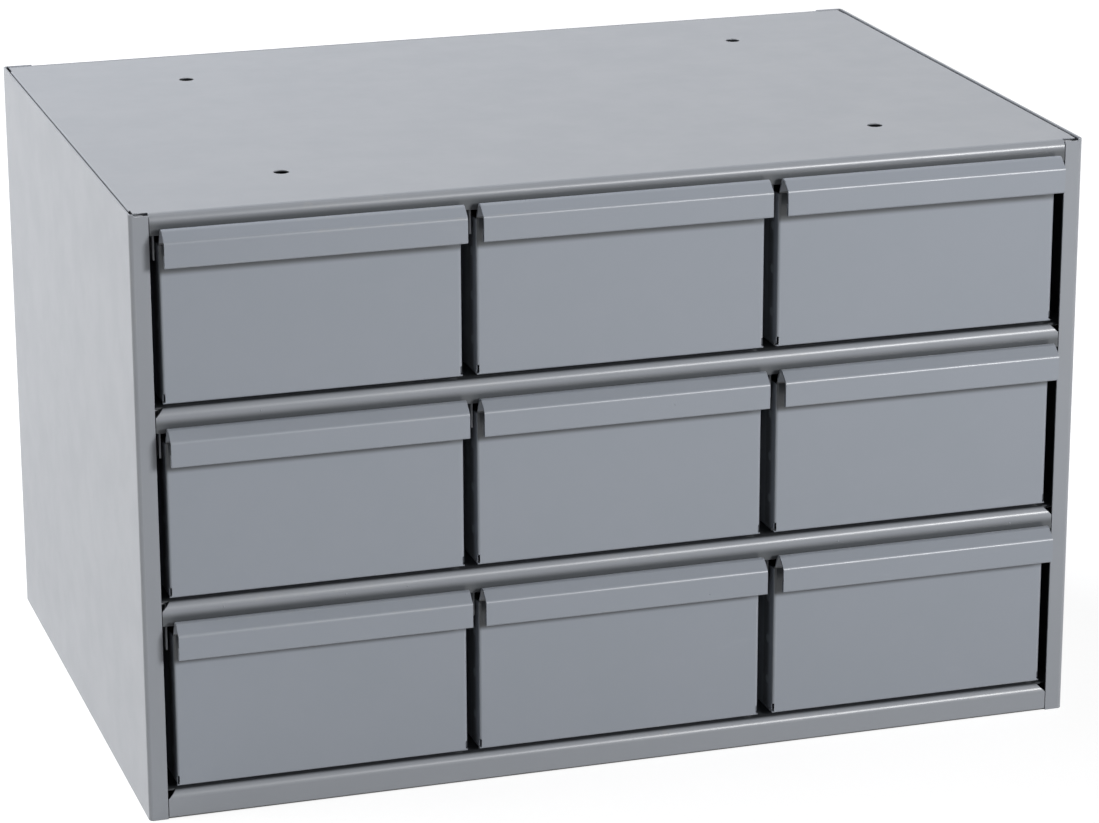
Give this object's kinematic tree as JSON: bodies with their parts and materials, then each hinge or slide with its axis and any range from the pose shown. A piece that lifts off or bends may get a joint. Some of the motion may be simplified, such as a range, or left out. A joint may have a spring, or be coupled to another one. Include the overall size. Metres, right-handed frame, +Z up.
{
  "type": "small parts drawer cabinet",
  "caption": "Sheet steel cabinet for small parts: equal drawers in rows and columns, each with a full-width hooked pull, in a plain grey case.",
  "frame": {"origin": "middle of the footprint, the drawers' pulls included, on the floor", "axes": "+X to the cabinet's right as seen from the front, +Y to its back, +Z up"},
  "size_m": [0.4382, 0.309, 0.2762],
  "materials": {
    "case_enamel": "satin grey enamel",
    "drawer_front_enamel": "satin grey enamel",
    "drawer_body_enamel": "satin grey enamel",
    "guide_enamel": "satin grey enamel"
  },
  "bodies": {
    "case": {"left_side_panel": "case_enamel", "right_side_panel": "case_enamel", "top_panel": "case_enamel", "bottom_panel": "case_enamel", "lower_shelf": "case_enamel", "upper_shelf": "case_enamel", "back_panel": "case_enamel", "bottom_row_left_guide": "guide_enamel", "bottom_row_inner_left_guide": "guide_enamel", "bottom_row_inner_right_guide": "guide_enamel", "bottom_row_right_guide": "guide_enamel", "middle_row_left_guide": "guide_enamel", "middle_row_inner_left_guide": "guide_enamel", "middle_row_inner_right_guide": "guide_enamel", "middle_row_right_guide": "guide_enamel", "top_row_left_guide": "guide_enamel", "top_row_inner_left_guide": "guide_enamel", "top_row_inner_right_guide": "guide_enamel", "top_row_right_guide": "guide_enamel"},
    "bottom_left_drawer": {"bottom_left_drawer_front": "drawer_front_enamel", "bottom_left_drawer_trough": "drawer_body_enamel", "bottom_left_drawer_back": "drawer_body_enamel"},
    "bottom_centre_drawer": {"bottom_centre_drawer_front": "drawer_front_enamel", "bottom_centre_drawer_trough": "drawer_body_enamel", "bottom_centre_drawer_back": "drawer_body_enamel"},
    "bottom_right_drawer": {"bottom_right_drawer_front": "drawer_front_enamel", "bottom_right_drawer_trough": "drawer_body_enamel", "bottom_right_drawer_back": "drawer_body_enamel"},
    "middle_left_drawer": {"middle_left_drawer_front": "drawer_front_enamel", "middle_left_drawer_trough": "drawer_body_enamel", "middle_left_drawer_back": "drawer_body_enamel"},
    "middle_centre_drawer": {"middle_centre_drawer_front": "drawer_front_enamel", "middle_centre_drawer_trough": "drawer_body_enamel", "middle_centre_drawer_back": "drawer_body_enamel"},
    "middle_right_drawer": {"middle_right_drawer_front": "drawer_front_enamel", "middle_right_drawer_trough": "drawer_body_enamel", "middle_right_drawer_back": "drawer_body_enamel"},
    "top_left_drawer": {"top_left_drawer_front": "drawer_front_enamel", "top_left_drawer_trough": "drawer_body_enamel", "top_left_drawer_back": "drawer_body_enamel"},
    "top_centre_drawer": {"top_centre_drawer_front": "drawer_front_enamel", "top_centre_drawer_trough": "drawer_body_enamel", "top_centre_drawer_back": "drawer_body_enamel"},
    "top_right_drawer": {"top_right_drawer_front": "drawer_front_enamel", "top_right_drawer_trough": "drawer_body_enamel", "top_right_drawer_back": "drawer_body_enamel"}
  },
  "joints": [
    {"name": "bottom_left_drawer_slide", "type": "slide", "parent": "case", "child": "bottom_left_drawer", "axis": [0, -1, 0], "range_m": [0, 0.284]},
    {"name": "bottom_centre_drawer_slide", "type": "slide", "parent": "case", "child": "bottom_centre_drawer", "axis": [0, -1, 0], "range_m": [0, 0.284]},
    {"name": "bottom_right_drawer_slide", "type": "slide", "parent": "case", "child": "bottom_right_drawer", "axis": [0, -1, 0], "range_m": [0, 0.284]},
    {"name": "middle_left_drawer_slide", "type": "slide", "parent": "case", "child": "middle_left_drawer", "axis": [0, -1, 0], "range_m": [0, 0.284]},
    {"name": "middle_centre_drawer_slide", "type": "slide", "parent": "case", "child": "middle_centre_drawer", "axis": [0, -1, 0], "range_m": [0, 0.284]},
    {"name": "middle_right_drawer_slide", "type": "slide", "parent": "case", "child": "middle_right_drawer", "axis": [0, -1, 0], "range_m": [0, 0.284]},
    {"name": "top_left_drawer_slide", "type": "slide", "parent": "case", "child": "top_left_drawer", "axis": [0, -1, 0], "range_m": [0, 0.284]},
    {"name": "top_centre_drawer_slide", "type": "slide", "parent": "case", "child": "top_centre_drawer", "axis": [0, -1, 0], "range_m": [0, 0.284]},
    {"name": "top_right_drawer_slide", "type": "slide", "parent": "case", "child": "top_right_drawer", "axis": [0, -1, 0], "range_m": [0, 0.284]}
  ]
}
